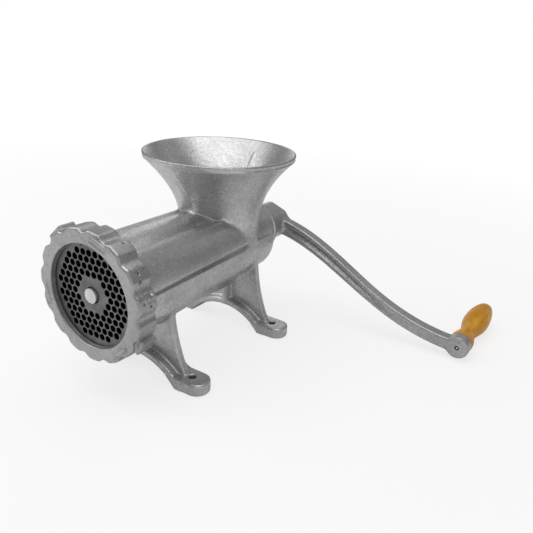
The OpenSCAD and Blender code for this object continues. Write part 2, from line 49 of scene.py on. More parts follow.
# ---------------------------------------------------------------- sizes, in millimetres
MM = 0.001
AXIS_H = 100.0
BODY_LOW = (-80, -130, -4)      # the box in which the body casting is sampled
BODY_HIGH = (80, 120, 202)
BODY_STEP = 0.9
LEG_Y = 68.0
HOLE_X = 58.0
HOLE_R = 3.75
FOOT_T = 12.0
LEG_W = 25.0
TIP_X = 76.0
ARCH_HALF = 46.2
ARCH_RISE = 21.7
ARCH_T = 6.5
WEB_T = 6.5
WEB_LOW = 2.0
WEB_TOP = AXIS_H - 15
WEB_CURVE = ((HOLE_X - 6, FOOT_T), (36.0, AXIS_H * 0.45), (34.5, AXIS_H - 18))  # (across, height)
LEG_EDGE = 1.4              # how round the legs' edges are
PAD_EDGE = 1.8
OVERLAP = 4.0               # how far one form of a leg runs into the next
LEG_CORNER = 1.2            # fillets: between a leg's web, rib and strap,
LEG_JOIN = 3.5              # and from the leg to the barrel

MOUTH_Y = -127.4
COLLAR_R = 54.6
COLLAR_END_Y = -113.9
CHAMBER_WALL_R = 50.5
CHAMBER_WALL_Y = -109.0
BARREL_R = 41.5
BARREL_REAR_R = 40.5
BARREL_UPPER_REAR_R = 38.5
STEP_ANGLE = 11.0
REAR_Y = 91.6
REAR_EDGE = 2.5
NECK_R = 26.4
NECK_Y = 117.1
BEAD_RISE = 1.6             # the bead round the neck's end
BEAD_W = 4.5
BARREL_JOIN = 3.0
BORE_R = 35.5
BORE_END_Y = 80.1
POCKET_R = 49.35
SEAT_Y = -120.4
CHAMBER_R = 46.0
CHAMBER_Y = -113.1
BUSHING_R = 19.05

PANEL_R = 47.5
PANEL_LOW_FRONT = ((41.5, -0.6), (47.1, 6.0))   # (across, up) along the panels' lower edge,
PANEL_LOW_BACK = ((41.4, 2.3), (45.9, 12.1))    # by the ring and by the hopper
PANEL_HIGH = ((20.1, 36.3), (29.2, 37.4))       # and along their upper edge
PANEL_EDGES = (1.6, 0.9)                        # how round those edges are
LOWER_WALL = 5.0            # how much thicker the barrel's underside is by the ring
LOWER_WALL_END = 60.0       # where that ends, how far it takes to grow,
LOWER_WALL_RUN = 120.0
LOWER_WALL_DROP = 8.0       # how far under the axis it begins,
LOWER_WALL_HEIGHT = 14.0    # and over what height it comes in
CHANNEL_R = 39.0
CHANNEL_HALF = 6.0
CHANNEL_ANGLES = (12.2, 30.5, 48.8)
CHANNEL_END_Y = 24.3

HOPPER_Y = 42.0
HOPPER_TOP = 198.3
RIM_R = 77.2
RIM_Z = 193.3
RIM_EDGE = 2.4
THROAT_Z = 130.0
THROAT_X = 46.0
THROAT_Y = 35.4
THROAT_WALL = 5.0
HOPPER_JOIN = 3.0
BELL_POWERS = (2.2, 1.5)    # how late the bell opens, across and along
HOLLOW_POWERS = (1.6, 1.5)
SEAM_Y = HOPPER_Y - 5       # the mould's parting runs down the front of the bell
SEAM_STEP = 0.6
SEAM_FLASH = 1.08
SEAM_FLASH_W = 1.4
SEAM_ROUGH_Z = 165
LIP_EDGE = 0.9
LIP_GROOVE_R = 1.1
LIP_GROOVE_DROP = 3.8
CREASE = 1.1                # how far the crease inside the bell stands out
CREASE_W = 1.1
CREASE_TOP = 188

RING_LOW = (-68, -137, AXIS_H - 68)     # the box in which the ring nut is sampled
RING_HIGH = (68, -111, AXIS_H + 68)
RING_STEP = 0.6
RING_Y = -134.1
RING_DEPTH = 21.2
RING_FLANGE = 5.4
RING_OPENING_R = 46.6       # at the ring's face
RING_DRAFT = 0.8            # and how much narrower the opening is behind the flange
RING_THREAD_R = 54.9
RING_LOBE_R = 60.0
RING_ROOT_R = 57.2
RING_LOBES = 15
DENT_R = 6.5
DENT_EDGE = 2.6
LOBE_TURN = 8.0
LUG_SETBACK = 5.0
LUG_R = (55.8, 63.8)
LUGS = ((132, 19), (-32, 14))
BARS = (72, 192, 312)
BAR_R = 53.5
BAR_LEN = 17.0
BAR_W = 4.0
BAR_RISE = 0.6
MOAT_W = 1.3                # how far the sunk ground round a bar reaches
RING_EDGE = 1.8
PATCH_ANGLE = 14            # where the rough patch is, and how far it reaches
PATCH_REACH = 12

CRANK_STEP = 0.8
HUB_Y = 117.9
HUB_END_Y = 152.4
HUB_R = 21.5
HUB_FLAT_R = 18.7
HUB_FLAT_ANGLE = 69.5
DRIVE_W = 20.2
ARM_T = 14.0
ARM_W_ROOT = 18.5
ARM_W_TIP = 13.5
ARM_TAPER = 1.6             # the arm is at its tip width from 1/1.6 of its length on
ARM_EDGE = 2.2
HUB_EDGE = 1.4
HUB_JOIN = 5.0
BOSS_JOIN = 2.5
CRANK_PULL = ((94, -8), (134, 4))       # the curve's middle points, from the hub's and grip's heights
GROOVE_SHARE = 0.54                     # how much of the arm's width the groove takes
GROOVE_PLACES = (0.07, 0.13, 0.4, 0.6, 0.78)    # shares of the arm's length
GROOVE_DEPTHS = (0, 4.4, 4.2, 2.8, 0)
GROOVE_SLOPE = 0.77                     # makes a distance of a height above the groove's sloping sides
BOSS_R = 12.0
BOSS_DISC_R = 7.5
BOSS_DISC_RISE = 0.35
PIN_R = 4.0
PIN_HEAD_R = 7.0
PIN_HEAD_T = 2.5
DIMPLE_R = 2.3


# ---------------------------------------------------------------- distance fields
class Grid:
    """Sample points of a box, in millimetres, as three arrays that broadcast."""

    def __init__(self, low, high, step):
        self.low = np.array(low, float)
        self.step = step
        counts = [int(math.ceil((b - a) / step)) + 1 for a, b in zip(low, high)]
        axes = [a + step * np.arange(n, dtype=np.float32) for a, n in zip(low, counts)]
        self.x = axes[0].reshape(-1, 1, 1)
        self.y = axes[1].reshape(1, -1, 1)
        self.z = axes[2].reshape(1, 1, -1)
        self.shape = tuple(counts)


def union(a, b, blend):
    """The nearer of two solids, with a fillet of about the given size between them."""
    h = np.clip(0.5 + 0.5 * (b - a) / blend, 0, 1)
    return b + (a - b) * h - blend * h * (1 - h)


def common(a, b, blend):
    """What two solids share, with a rounded edge of about the given size."""
    return -union(-a, -b, blend)


def without(a, b, blend):
    """The first solid with the second cut from it, and the cut's edge rounded."""
    return -union(-a, b, blend)


def extrude(outline, span, edge):
    """A solid from an outline's distance and a slab's, with rounded edges."""
    a = outline + edge
    b = span + edge
    outside = np.hypot(np.maximum(a, 0), np.maximum(b, 0))
    return np.minimum(np.maximum(a, b), 0) + outside - edge


def between(value, low, high):
    """Signed distance to a slab: negative where the value lies between the two ends."""
    return np.abs(value - (low + high) / 2) - (high - low) / 2


def beside_line(u, v, line, side):
    """Signed distance to a line through two points, positive on the given side of it."""
    (u0, v0), (u1, v1) = line
    length = np.hypot(u1 - u0, v1 - v0)
    return side * ((u - u0) * (v1 - v0) - (v - v0) * (u1 - u0)) / length


def block(grid, centre, half, edge, turn):
    """A rounded box, turned about the barrel's direction by the given angle."""
    c, s = math.cos(turn), math.sin(turn)
    x = grid.x - centre[0]
    z = grid.z - centre[2]
    u = np.abs(x * c + z * s) - half[0] + edge
    w = np.abs(-x * s + z * c) - half[2] + edge
    v = np.abs(grid.y - centre[1]) - half[1] + edge
    outside = np.sqrt(np.maximum(u, 0) ** 2 + np.maximum(v, 0) ** 2 + np.maximum(w, 0) ** 2)
    return np.minimum(np.maximum(np.maximum(u, v), w), 0) + outside - edge


def ball(grid, centre, radius):
    """Signed distance to a sphere."""
    return np.sqrt((grid.x - centre[0]) ** 2 + (grid.y - centre[1]) ** 2
                   + (grid.z - centre[2]) ** 2) - radius


def ripple(grid, pitch):
    """An uneven surface from crossing waves, between about -1 and 1."""
    a = np.sin(grid.x / pitch + 2.1 * np.sin(grid.y / (1.7 * pitch)))
    b = np.sin(grid.y / (0.8 * pitch) + 1.9 * np.sin(grid.z / (1.3 * pitch)))
    c = np.sin(grid.z / (0.9 * pitch) + 2.3 * np.sin(grid.x / (1.5 * pitch)))
    return (a + b + c) / 3


def surface_mesh(name, field, grid):
    """The surface where a field is zero, as a smooth mesh in metres."""
    volume = openvdb.FloatGrid(3.0)
    volume.copyFromArray(np.array(np.broadcast_to(field, grid.shape), np.float32))
    points, triangles, quads = volume.convertToPolygons(0.0, 0.0)
    points = (points.astype(float) * grid.step + grid.low) * MM
    faces = [tuple(int(i) for i in reversed(f)) for f in quads]
    faces += [tuple(int(i) for i in reversed(f)) for f in triangles]
    mesh = bpy.data.meshes.new(name)
    mesh.from_pydata(points.tolist(), [], faces)
    mesh.validate()
    mesh.update()
    mesh.shade_smooth()
    return mesh


def add_piece(name, mesh, body, slot, material, *nodes):
    """Puts a mesh in the scene, on its body, with its material, and hides the nodes it replaces. The
    slot argument is not used.
    """
    piece = bpy.data.objects.new(name, mesh)
    bpy.context.scene.collection.objects.link(piece)
    mesh.materials.clear()
    mesh.materials.append(material)
    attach(piece, body)
    if nodes:
        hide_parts(*nodes)
    return piece


# ---------------------------------------------------------------- curves
def bezier2(a, b, c, t):
    """A quadratic Bezier curve's value at t."""
    return (1 - t) ** 2 * a + 2 * t * (1 - t) * b + t ** 2 * c


def bezier3(points, t):
    """A cubic Bezier curve's point at t."""
    a, b, c, d = points
    return (1 - t) ** 3 * a + 3 * t * (1 - t) ** 2 * b + 3 * t ** 2 * (1 - t) * c + t ** 3 * d


def lathe(name, profile, centre, sides=96):
    """A closed surface turned about a line along Y; the profile is (y, radius), in millimetres."""
    points = []
    faces = []
    rings = len(profile)
    for y, r in profile:
        for i in range(sides):
            a = 2 * math.pi * i / sides
            points.append(((centre[0] + r * math.cos(a)) * MM, (centre[1] + y) * MM,
                           (centre[2] + r * math.sin(a)) * MM))
    for j in range(rings - 1):
        for i in range(sides):
            k = (i + 1) % sides
            faces.append((j * sides + i, (j + 1) * sides + i, (j + 1) * sides + k, j * sides + k))
    faces.append(tuple(range(sides)))
    faces.append(tuple(reversed(range((rings - 1) * sides, rings * sides))))
    mesh = bpy.data.meshes.new(name)
    mesh.from_pydata(points, [], faces)
    mesh.validate()
    mesh.update()
    mesh.shade_smooth()
    return mesh


# ---------------------------------------------------------------- materials
class Nodes:
    """Short calls for building a material's node tree."""

    def __init__(self, name):
        self.material = bpy.data.materials.new(name)
        self.material.use_nodes = True
        self.tree = self.material.node_tree
        self.shader = self.tree.nodes["Principled BSDF"]
        self.coords = self.tree.nodes.new("ShaderNodeTexCoord").outputs["Object"]

    def link(self, source, target):
        self.tree.links.new(source, target)

    def scaled(self, scale):
        """Object coordinates times a vector, so a texture can stretch one way."""
        mapping = self.tree.nodes.new("ShaderNodeMapping")
        mapping.inputs["Scale"].default_value = scale
        self.link(self.coords, mapping.inputs["Vector"])
        return mapping.outputs["Vector"]

    def noise(self, scale, detail=2.0, rough=0.5, distort=0.0, vector=None):
        node = self.tree.nodes.new("ShaderNodeTexNoise")
        node.inputs["Scale"].default_value = scale
        node.inputs["Detail"].default_value = detail
        node.inputs["Roughness"].default_value = rough
        node.inputs["Distortion"].default_value = distort
        self.link(vector or self.coords, node.inputs["Vector"])
        return node.outputs["Fac"]

    def cells(self, scale):
        node = self.tree.nodes.new("ShaderNodeTexVoronoi")
        node.inputs["Scale"].default_value = scale
        self.link(self.coords, node.inputs["Vector"])
        return node.outputs["Distance"]

    def ramp(self, value, stops):
        """A colour ramp; each stop is (place, grey) or (place, (r, g, b))."""
        node = self.tree.nodes.new("ShaderNodeValToRGB")
        points = node.color_ramp.elements
        while len(points) < len(stops):
            points.new(0.5)
        for point, (place, colour) in zip(points, stops):
            point.position = place
            rgb = (colour,) * 3 if isinstance(colour, (int, float)) else colour
            point.color = (*rgb, 1)
        self.link(value, node.inputs["Fac"])
        return node.outputs["Color"]

    def mix(self, a, b, amount, kind="MIX"):
        node = self.tree.nodes.new("ShaderNodeMix")
        node.data_type = "RGBA"
        node.blend_type = kind
        self._feed(node.inputs["Factor"], amount)
        self._feed(node.inputs["A"], a)
        self._feed(node.inputs["B"], b)
        return node.outputs["Result"]

    def math(self, kind, a, b=0.0):
        node = self.tree.nodes.new("ShaderNodeMath")
        node.operation = kind
        self._feed(node.inputs[0], a)
        self._feed(node.inputs[1], b)
        return node.outputs["Value"]

    def range(self, value, low, high, new_low, new_high):
        node = self.tree.nodes.new("ShaderNodeMapRange")
        node.inputs["From Min"].default_value = low
        node.inputs["From Max"].default_value = high
        node.inputs["To Min"].default_value = new_low
        node.inputs["To Max"].default_value = new_high
        self.link(value, node.inputs["Value"])
        return node.outputs["Result"]

    def pointiness(self):
        return self.tree.nodes.new("ShaderNodeNewGeometry").outputs["Pointiness"]

    def part(self, vector, axis):
        """One coordinate of a vector."""
        node = self.tree.nodes.new("ShaderNodeSeparateXYZ")
        self.link(vector, node.inputs["Vector"])
        return node.outputs[axis]

    def bump(self, height, strength, distance):
        node = self.tree.nodes.new("ShaderNodeBump")
        node.inputs["Strength"].default_value = strength
        node.inputs["Distance"].default_value = distance
        self.link(height, node.inputs["Height"])
        self.link(node.outputs["Normal"], self.shader.inputs["Normal"])

    def _feed(self, socket, value):
        if isinstance(value, bpy.types.NodeSocket):
            self.link(value, socket)
        elif isinstance(value, tuple):
            socket.default_value = (*value, 1)
        elif socket.type == "RGBA":
            socket.default_value = (value, value, value, 1)
        else:
            socket.default_value = value


def cast_metal(name, tone, rough, edge, shade=None):
    """Tinned cast iron: grey with soft clouds, sand grain and specks, convex edges lightened partly as
    rubbed wear and partly as a painted highlight, hollows darkened as painted shade, and an optional
    mask of painted shade.
    """
    n = Nodes(name)
    clouds = n.noise(24, 4, 0.62)
    mottle = n.noise(260, 3, 0.65)
    grain = n.noise(1000, 2, 0.7)
    base = n.ramp(clouds, [(0.3, tone * 0.84), (0.7, tone * 1.12)])
    base = n.mix(base, n.ramp(mottle, [(0.3, 0.74), (0.6, 1.0)]), 0.6, "MULTIPLY")
    base = n.mix(base, n.ramp(grain, [(0.32, 0.55), (0.6, 1.0)]), 0.7, "MULTIPLY")
    specks = n.ramp(n.cells(170), [(0.06, 0.2), (0.14, 1.0)])
    few = n.ramp(n.noise(40, 1, 0.5), [(0.58, 0.0), (0.66, 1.0)])
    base = n.mix(base, n.mix(base, specks, 1.0, "MULTIPLY"), few)
    # Painted shade: the given mask darkens the colour towards dark grey.
    if shade is not None:
        base = n.mix(base, (0.1, 0.1, 0.1), shade(n))
    # Convex edges lightened towards pale grey: partly rubbed wear, partly a painted highlight.
    edges = n.range(n.pointiness(), 0.515, 0.58, 0.0, edge)
    base = n.mix(base, (0.86, 0.86, 0.85), edges)
    # Painted shade: concave hollows are darkened towards near black.
    painted_hollow_shade = n.range(n.pointiness(), 0.4, 0.475, 0.7, 0.0)
    base = n.mix(base, (0.07, 0.07, 0.07), painted_hollow_shade)
    n.link(base, n.shader.inputs["Base Color"])
    n.shader.inputs["Metallic"].default_value = 0.85
    n.link(n.range(mottle, 0.3, 0.7, rough + 0.08, rough - 0.05), n.shader.inputs["Roughness"])
    height = n.math("ADD", n.math("MULTIPLY", grain, 0.55), n.math("MULTIPLY", mottle, 0.6))
    n.bump(height, 0.42, 0.0007)
    return n.material


def painted_shade_under_panels(n):
    """Where the side panels' lower edges are: the band under them, darkened as painted shade."""
    x, z = n.part(n.coords, "X"), n.part(n.coords, "Z")
    up = n.math("SUBTRACT", z, AXIS_H * MM)
    out = n.math("SQRT", n.math("ADD", n.math("MULTIPLY", x, x), n.math("MULTIPLY", up, up)))
    off = n.math("ABSOLUTE", n.math("SUBTRACT", out, (BARREL_R + PANEL_R) / 2 * MM))
    ring = n.range(off, 0.0022, 0.003, 0.8, 0.0)
    low = n.range(up, 0.0115, 0.0135, 1.0, 0.0)
    high = n.range(up, -0.0035, -0.001, 0.0, 1.0)
    front = n.range(n.part(n.coords, "Y"), 0.03, 0.038, 1.0, 0.0)
    return n.math("MULTIPLY", n.math("MULTIPLY", ring, front), n.math("MULTIPLY", low, high))


def steel(name, tone, rough):
    """Machined steel with fine turning marks."""
    n = Nodes(name)
    clouds = n.noise(60, 3, 0.6)
    lines = n.noise(400, 3, 0.6, vector=n.scaled((1, 0.1, 1)))
    base = n.ramp(clouds, [(0.3, tone * 0.8), (0.7, tone * 1.15)])
    base = n.mix(base, n.ramp(lines, [(0.3, 0.7), (0.6, 1.0)]), 0.5, "MULTIPLY")
    n.link(base, n.shader.inputs["Base Color"])
    n.shader.inputs["Metallic"].default_value = 0.9
    n.link(n.range(lines, 0.3, 0.7, rough - 0.08, rough + 0.1), n.shader.inputs["Roughness"])
    n.bump(lines, 0.2, 0.0002)
    return n.material


def plate_steel(name, tone):
    """The cutting plate: ground grey faces, and hole walls painted near black as shade."""
    n = Nodes(name)
    clouds = n.noise(90, 3, 0.6)
    base = n.ramp(clouds, [(0.3, tone * 0.8), (0.7, tone * 1.15)])
    base = n.mix(base, n.ramp(n.noise(900, 2, 0.7), [(0.3, 0.6), (0.6, 1.0)]), 0.6, "MULTIPLY")
    # Painted shade: surfaces that don't face along the axis, the hole walls and the rim, go near
    # black.
    normal = n.tree.nodes.new("ShaderNodeTexCoord").outputs["Normal"]
    facing = n.math("ABSOLUTE", n.part(normal, "Y"))
    base = n.mix((0.006, 0.006, 0.006), base, n.range(facing, 0.3, 0.9, 0.0, 1.0))
    n.link(base, n.shader.inputs["Base Color"])
    n.shader.inputs["Metallic"].default_value = 0.75
    n.link(n.range(clouds, 0.3, 0.7, 0.5, 0.36), n.shader.inputs["Roughness"])
    n.bump(clouds, 0.15, 0.0002)
    return n.material


def varnished_wood(name):
    """Honey-coloured turned wood with grain along the grip, and a clear varnish."""
    n = Nodes(name)
    bands = n.noise(75, 3, 0.55, 1.0, n.scaled((1, 0.22, 1)))
    fibres = n.noise(1300, 2, 0.5, 0.0, n.scaled((1, 0.05, 1)))
    base = n.ramp(bands, [(0.3, (0.46, 0.17, 0.006)), (0.5, (0.63, 0.275, 0.012)),
                          (0.7, (0.76, 0.42, 0.04))])
    base = n.mix(base, n.ramp(fibres, [(0.3, 0.8), (0.6, 1.0)]), 0.5, "MULTIPLY")
    dots = n.ramp(n.cells(38), [(0.035, (0.03, 0.012, 0.004)), (0.07, (1.0, 1.0, 1.0))])
    base = n.mix(base, dots, 0.9, "MULTIPLY")
    n.link(base, n.shader.inputs["Base Color"])
    n.shader.inputs["Roughness"].default_value = 0.42
    n.shader.inputs["Specular IOR Level"].default_value = 0.25
    n.shader.inputs["Coat Weight"].default_value = 0.12
    n.shader.inputs["Coat Roughness"].default_value = 0.14
    n.bump(fibres, 0.15, 0.0002)
    return n.material


CAST = cast_metal("tinned_cast_iron", 0.62, 0.3, 0.6)
CAST_RING = cast_metal("tinned_cast_ring", 0.5, 0.33, 0.12)
# The body's material darkens the band under the side panels with painted shade.
CAST_BODY = cast_metal("tinned_cast_body", 0.62, 0.29, 0.6, painted_shade_under_panels)
CAST_CRANK = cast_metal("forged_crank", 0.54, 0.39, 0.12)
PLATE_STEEL = plate_steel("dark_plate_steel", 0.2)
# Steel painted near black, used as the painted shade in the grip pin's dimple.
SHADE_DARK_STEEL = steel("steel_painted_dark_as_shade", 0.06, 0.5)
STEEL = steel("machined_steel", 0.45, 0.35)
BRIGHT = steel("bright_steel", 0.72, 0.3)
BRONZE = steel("bronze", 0.4, 0.4)
WOOD = varnished_wood("varnished_wood")


# ---------------------------------------------------------------- body casting
def bell(z, throat, rim, power, top=RIM_Z):
    """The bell's half width at a height, from the throat's to the rim's."""
    t = np.clip((z - THROAT_Z) / (top - THROAT_Z), 0, 1)
    return throat + (rim - throat) * t ** power


def oval_field(grid, a, b):
    """Distance to an oval tube whose half widths change with height."""
    u = grid.x / a
    v = (grid.y - HOPPER_Y) / b
    size = np.sqrt(u * u + v * v) + 1e-6
    value = (size - 1) * np.minimum(a, b)
    slopes = np.gradient(value, grid.step)
    steep = np.sqrt(sum(g * g for g in slopes))
    return value / np.maximum(steep, 0.3)


def barrel_field(grid, across, up, out):
    """The barrel's outside: chamber, collar, the step between its halves behind, and neck."""
    under = np.clip((-up - LOWER_WALL_DROP) / LOWER_WALL_HEIGHT, 0, 1)
    under = under * np.clip((LOWER_WALL_END - grid.y) / LOWER_WALL_RUN, 0, 1)
    front_r = BARREL_R + LOWER_WALL * under
    front = extrude(out - front_r, between(grid.y, MOUTH_Y, HOPPER_Y + 8), 1)
    upper = extrude(out - BARREL_UPPER_REAR_R, between(grid.y, HOPPER_Y, REAR_Y), REAR_EDGE)
    step = up - across * math.tan(math.radians(STEP_ANGLE))
    lower = extrude(out - BARREL_REAR_R, between(grid.y, HOPPER_Y, REAR_Y), REAR_EDGE)
    barrel = union(front, np.minimum(upper, common(lower, step, 1.0)), 1.0)
    chamber = extrude(out - CHAMBER_WALL_R, between(grid.y, MOUTH_Y, CHAMBER_WALL_Y), 1.5)
    collar = extrude(out - COLLAR_R, between(grid.y, MOUTH_Y, COLLAR_END_Y), 1)
    neck = extrude(out - NECK_R, between(grid.y, 0, NECK_Y), 1.0)
    bead = extrude(out - NECK_R - BEAD_RISE, between(grid.y, NECK_Y - BEAD_W, NECK_Y), 1.1)
    barrel = union(barrel, chamber, BARREL_JOIN)
    barrel = union(barrel, collar, 1)
    return union(union(barrel, neck, BARREL_JOIN), bead, 0.6)


def panel_field(grid, across, up, out):
    """The two raised panels along the barrel's sides."""
    share = np.clip((grid.y - COLLAR_END_Y) / (HOPPER_Y - COLLAR_END_Y), 0, 1)
    low_edge = [[a + (b - a) * share for a, b in zip(front, back)]
                for front, back in zip(PANEL_LOW_FRONT, PANEL_LOW_BACK)]
    sector = common(out - PANEL_R, beside_line(across, up, low_edge, 1), PANEL_EDGES[0])
    sector = common(sector, beside_line(across, up, PANEL_HIGH, -1), PANEL_EDGES[1])
    return extrude(sector, between(grid.y, COLLAR_END_Y, HOPPER_Y), 0.5)


def leg_field(grid, y):
    """One foot pair: arch strap, pads, web and centre rib."""
    arch_r = (ARCH_HALF ** 2 + ARCH_RISE ** 2) / (2 * ARCH_RISE)
    arch_z = ARCH_RISE - arch_r
    across = np.abs(grid.x)
    along = np.abs(grid.y - y)
    ring = np.hypot(grid.x, grid.z - arch_z)
    strap = np.maximum(between(ring, arch_r - OVERLAP, arch_r + ARCH_T), -grid.z)
    strap = extrude(strap, along - LEG_W / 2, LEG_EDGE)
    past_tip = np.maximum(across - (TIP_X - LEG_W / 2), 0)
    past_arch = np.minimum(across - ARCH_HALF + OVERLAP, 0)
    pad = np.hypot(past_tip + past_arch, along) - LEG_W / 2
    pad = extrude(pad, between(grid.z, 0, FOOT_T), PAD_EDGE)
    t = np.linspace(0, 1, 40)
    edge_x, edge_z = (bezier2(*values, t) for values in zip(*WEB_CURVE))
    reach = np.interp(grid.z, edge_z, edge_x).astype(np.float32)
    web = np.maximum(across - reach, between(grid.z, WEB_LOW, WEB_TOP))
    web = extrude(web, along - WEB_T / 2, LEG_EDGE)
    rib = extrude(across - WEB_T / 2, along - LEG_W / 2, LEG_EDGE)
    rib = np.maximum(rib, between(grid.z, ARCH_RISE, AXIS_H - BORE_R - 1))
    leg = union(union(strap, pad, 2), union(web, rib, LEG_CORNER), LEG_CORNER)
    return without(leg, ring - arch_r, 1)


def hopper_field(grid):
    """The bell outside, with a lip under which a fine groove runs, and the mould's parting step."""
    hopper = oval_field(grid, bell(grid.z, THROAT_X, RIM_R, BELL_POWERS[0]),
                        bell(grid.z, THROAT_Y, RIM_R, BELL_POWERS[1]))
    hopper = np.minimum(hopper, 60)     # above the rim the oval's distance means nothing
    front = np.clip((SEAM_Y - grid.y) / 4, 0, 1)
    parting = SEAM_STEP * np.clip(0.5 - grid.x / 1.5, 0, 1)
    roughness = np.clip((SEAM_ROUGH_Z - grid.z) / 30, 0, 1) * (0.4 + 0.6 * ripple(grid, 0.9))
    flash = SEAM_FLASH * np.exp(-(grid.x / SEAM_FLASH_W) ** 2) * roughness
    hopper = hopper + front * (parting - flash)
    from_axis = np.hypot(grid.x, grid.y - HOPPER_Y)
    hopper = np.maximum(hopper, extrude(from_axis - RIM_R, grid.z - HOPPER_TOP, LIP_EDGE))
    groove = np.hypot(from_axis - RIM_R - 0.2, grid.z - HOPPER_TOP + LIP_GROOVE_DROP)
    hopper = without(hopper, groove - LIP_GROOVE_R, 0.8)
    return np.maximum(hopper, AXIS_H + 6 - grid.z)


def inside_field(grid, across, up, out):
    """Everything that is hollow in the casting: the bell, the bore and its grooves."""
    rim = RIM_R - RIM_EDGE
    inner = oval_field(grid, bell(grid.z, BORE_R - 0.6, rim, HOLLOW_POWERS[0], HOPPER_TOP),
                       bell(grid.z, THROAT_Y - THROAT_WALL, rim, HOLLOW_POWERS[1], HOPPER_TOP))
    back = np.clip((grid.y - HOPPER_Y) / 5, 0, 1) * np.clip((CREASE_TOP - grid.z) / 4, 0, 1)
    inner = inner + CREASE * np.exp(-(grid.x / CREASE_W) ** 2) * back
    inner = np.maximum(inner, AXIS_H - grid.z)
    start = MOUTH_Y - 5
    bore = np.maximum(out - BORE_R, between(grid.y, start, BORE_END_Y))
    pocket = np.maximum(out - POCKET_R, between(grid.y, start, SEAT_Y))
    chamber = np.maximum(out - CHAMBER_R, between(grid.y, start, CHAMBER_Y))
    angle = np.degrees(np.arctan2(up, across))
    off_groove = np.abs(angle - CHANNEL_ANGLES[0])
    for middle in CHANNEL_ANGLES[1:]:
        off_groove = np.minimum(off_groove, np.abs(angle - middle))
    sides = np.radians(off_groove - CHANNEL_HALF) * out
    grooves = np.maximum(np.maximum(out - CHANNEL_R, sides),
                         between(grid.y, start, CHANNEL_END_Y))
    tube = np.minimum(np.minimum(bore, grooves), np.minimum(pocket, chamber))
    return union(inner, tube, 3)


def pits(grid, solid, places):
    """Small casting flaws; each is a centre and a radius."""
    for centre, radius in places:
        solid = without(solid, ball(grid, centre, radius), 0.5)
    return solid


def body_casting():
    """The barrel with its panels, hopper and legs, less all that is hollow in it."""
    grid = Grid(BODY_LOW, BODY_HIGH, BODY_STEP)
    across = np.abs(grid.x)
    up = grid.z - AXIS_H
    out = np.hypot(across, up)
    barrel = barrel_field(grid, across, up, out)
    solid = union(barrel, panel_field(grid, across, up, out), 0.9)
    solid = union(solid, hopper_field(grid), HOPPER_JOIN)
    for y in (-LEG_Y, LEG_Y):
        solid = union(solid, leg_field(grid, y), LEG_JOIN)
    solid = np.maximum(solid, -grid.z)
    solid = without(solid, inside_field(grid, across, up, out), 1.0)
    for x in (-HOLE_X, HOLE_X):
        for y in (-LEG_Y, LEG_Y):
            hole = np.hypot(grid.x - x, grid.y - y) - HOLE_R
            hole = np.maximum(hole, grid.z - 2 * FOOT_T)
            solid = without(solid, hole, 1.0)
    shaft = np.maximum(out - BUSHING_R, between(grid.y, BORE_END_Y - 5, NECK_Y + 5))
    solid = without(solid, shaft, 0.8)
    mesh = surface_mesh("grinder_body", solid, grid)
    add_piece("grinder_body", mesh, "body", "casting", CAST_BODY, "body_casting")


# ---------------------------------------------------------------- cutting plate
PLATE_STEP = 0.4
PLATE_Y = -128.4
PLATE_T = 8.0
PLATE_R = 49.2
PLATE_PITCH = 7.2
PLATE_HOLE_R = 2.95
PLATE_RINGS = (3, 4, 5, 6)
PLATE_TURN = 1.95
PLATE_USED_R = 41.4         # the holes' middles lie within this radius
STUD_HOLE_R = 7.4
KEY_ANGLE = 101
KEY_SLOT = 2.8              # half the key slot's width
KEY_SLOT_R = 44.1           # how far in the slot reaches


def hole_places():
    """The plate's hole centres: hexagonal rings on a triangular grid."""
    places = []
    for k in PLATE_RINGS:
        for side in range(6):
            a = math.radians(60 * side + PLATE_TURN)
            b = a + math.radians(120)
            for i in range(k):
                x = PLATE_PITCH * (k * math.cos(a) + i * math.cos(b))
                z = PLATE_PITCH * (k * math.sin(a) + i * math.sin(b))
                if math.hypot(x, z) < PLATE_USED_R:
                    places.append((x, z))
    return places


def cutting_plate():
    """The perforated plate, with its key slot and the hole for the stud."""
    low = (-PLATE_R - 1, PLATE_Y - 1, AXIS_H - PLATE_R - 1)
    high = (PLATE_R + 1, PLATE_Y + PLATE_T + 1, AXIS_H + PLATE_R + 1)
    grid = Grid(low, high, PLATE_STEP)
    up = grid.z - AXIS_H
    out = np.hypot(grid.x, up)
    plate = without(out - PLATE_R, out - STUD_HOLE_R, 0.2)
    for x, z in hole_places():
        plate = np.maximum(plate, PLATE_HOLE_R - np.hypot(grid.x - x, up - z))
    a = math.radians(KEY_ANGLE)
    beside = np.abs(-grid.x * math.sin(a) + up * math.cos(a)) - KEY_SLOT
    slot = np.maximum(beside, KEY_SLOT_R - (grid.x * math.cos(a) + up * math.sin(a)))
    plate = np.maximum(plate, -slot)
    plate = extrude(plate, between(grid.y, PLATE_Y, PLATE_Y + PLATE_T), 0.3)
    mesh = surface_mesh("plate_skin", plate, grid)
    add_piece("plate_skin", mesh, "body", "dark_steel", PLATE_STEEL, "cutting_plate")


# ---------------------------------------------------------------- ring nut
RING_PIT_OUT = 58.8         # how far from the axis the casting flaws' middles are
# Each casting flaw is (y, degrees round the ring, radius).
RING_PITS = ((-125.4, 33, 2.0), (-125.6, 26.5, 1.8), (-119.9, 59.5, 1.1), (-127.8, 9, 1.3),
             (-122.5, 22, 1.2), (-118.0, 15, 1.4), (-120.5, 5, 1.2))


def polar(y, degrees, r):
    """A point at an angle round the barrel's axis."""
    a = math.radians(degrees)
    return (r * math.cos(a), y, AXIS_H + r * math.sin(a))


